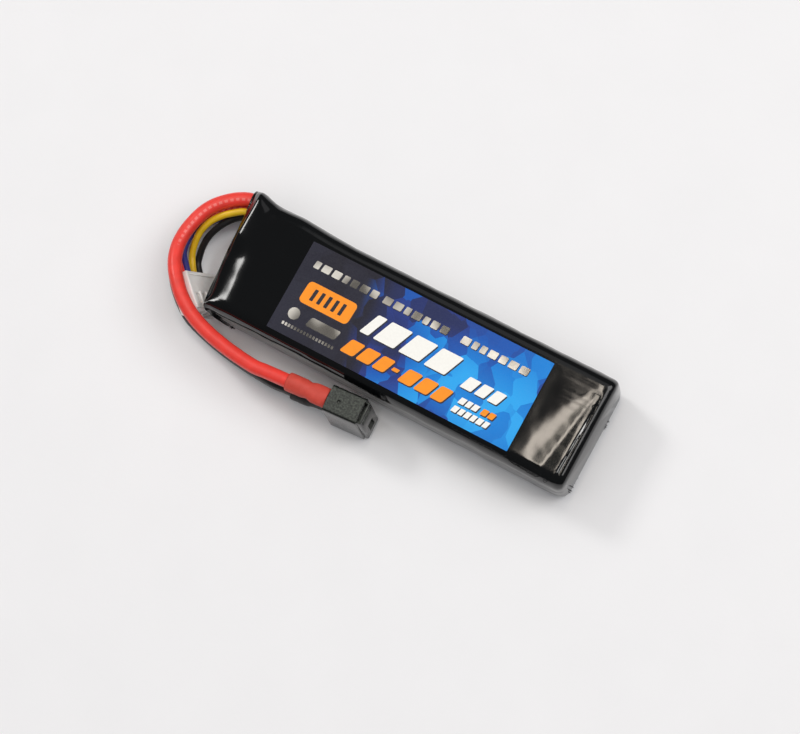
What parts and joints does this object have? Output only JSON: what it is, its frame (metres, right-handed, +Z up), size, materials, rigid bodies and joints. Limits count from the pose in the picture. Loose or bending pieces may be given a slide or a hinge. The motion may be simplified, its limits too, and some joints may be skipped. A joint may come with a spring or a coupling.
{
  "type": "lithium polymer battery pack",
  "caption": "Flat rectangular rechargeable stick pack in shrink wrap, with main leads to a T-plug and thin leads to a balance plug.",
  "frame": {"origin": "middle of the pack's underside, leads and plugs not counted", "axes": "+X along the pack towards its plain end, +Y across it towards the side where the leads come out, +Z up"},
  "size_m": [0.1166, 0.0416, 0.0169],
  "materials": {
    "wrap_black": "glossy black heat-shrunk film",
    "label_print": "printed film label, blue",
    "pouch_silver": "laminated aluminium pouch, satin",
    "foam_white": "white adhesive foam",
    "aluminium_tab": "bare aluminium strip",
    "nickel_tab": "nickel-plated strip",
    "seal_clear": "milky tab sealing film",
    "board_green": "green glass-fibre board",
    "card_blue": "blue-grey fish paper",
    "tape_amber": "amber polyimide tape",
    "solder": "bright tin solder",
    "lead_red": "red silicone lead insulation",
    "lead_black": "black silicone lead insulation",
    "lead_blue": "blue lead insulation",
    "lead_yellow": "yellow lead insulation",
    "sleeve_red": "red-orange heat-shrink sleeve, matte",
    "sleeve_black": "black heat-shrink sleeve, matte",
    "plug_black": "black glass-filled nylon, fine texture",
    "contact_gold": "gold-plated brass",
    "spring_steel": "spring steel",
    "plug_white": "natural white nylon",
    "contact_tin": "tinned phosphor bronze"
  },
  "bodies": {
    "pack": {"balance_contact_1": "contact_tin", "balance_contact_2": "contact_tin", "balance_contact_3": "contact_tin", "balance_contact_4": "contact_tin", "balance_lead_black": "lead_black", "balance_lead_blue": "lead_blue", "balance_lead_red": "lead_red", "balance_lead_yellow": "lead_yellow", "balance_plug_housing": "plug_white", "board_card": "card_blue", "cell_lower": "pouch_silver", "cell_middle": "pouch_silver", "cell_pad_lower": "foam_white", "cell_pad_middle": "foam_white", "cell_upper": "pouch_silver", "end_pad": "foam_white", "heat_shrink_black": "sleeve_black", "heat_shrink_red": "sleeve_red", "junction_board": "board_green", "label": "label_print", "main_lead_negative": "lead_black", "main_lead_positive": "lead_red", "negative_tab_lower": "nickel_tab", "negative_tab_middle": "nickel_tab", "negative_tab_upper": "nickel_tab", "positive_tab_lower": "aluminium_tab", "positive_tab_middle": "aluminium_tab", "positive_tab_upper": "aluminium_tab", "shrink_wrap": "wrap_black", "solder_balance_black": "solder", "solder_balance_blue": "solder", "solder_balance_red": "solder", "solder_balance_yellow": "solder", "solder_main_negative": "solder", "solder_main_positive": "solder", "t_plug_contact_negative": "contact_gold", "t_plug_contact_positive": "contact_gold", "t_plug_housing": "plug_black", "t_plug_solder_negative": "solder", "t_plug_solder_positive": "solder", "tab_seal_lower_negative": "seal_clear", "tab_seal_lower_positive": "seal_clear", "tab_seal_middle_negative": "seal_clear", "tab_seal_middle_positive": "seal_clear", "tab_seal_upper_negative": "seal_clear", "tab_seal_upper_positive": "seal_clear", "tape_band_lead_end": "tape_amber", "tape_band_plain_end": "tape_amber"},
    "contact_spring_positive": {"contact_spring_positive": "spring_steel"},
    "contact_spring_negative": {"contact_spring_negative": "spring_steel"}
  },
  "joints": [
    {"name": "contact_spring_positive_flex", "type": "hinge", "parent": "pack", "child": "contact_spring_positive", "pos_m": [-0.00681, -0.02141, 0.0142], "axis": [0.0679, -0.9959, 0.0593], "range_deg": [0, 3.5], "stiffness_Nm_per_rad": 0.01},
    {"name": "contact_spring_negative_flex", "type": "hinge", "parent": "pack", "child": "contact_spring_negative", "pos_m": [-0.00674, -0.02243, 0.00544], "axis": [0.004, -0.0592, -0.9982], "range_deg": [0, 3.5], "stiffness_Nm_per_rad": 0.01}
  ]
}
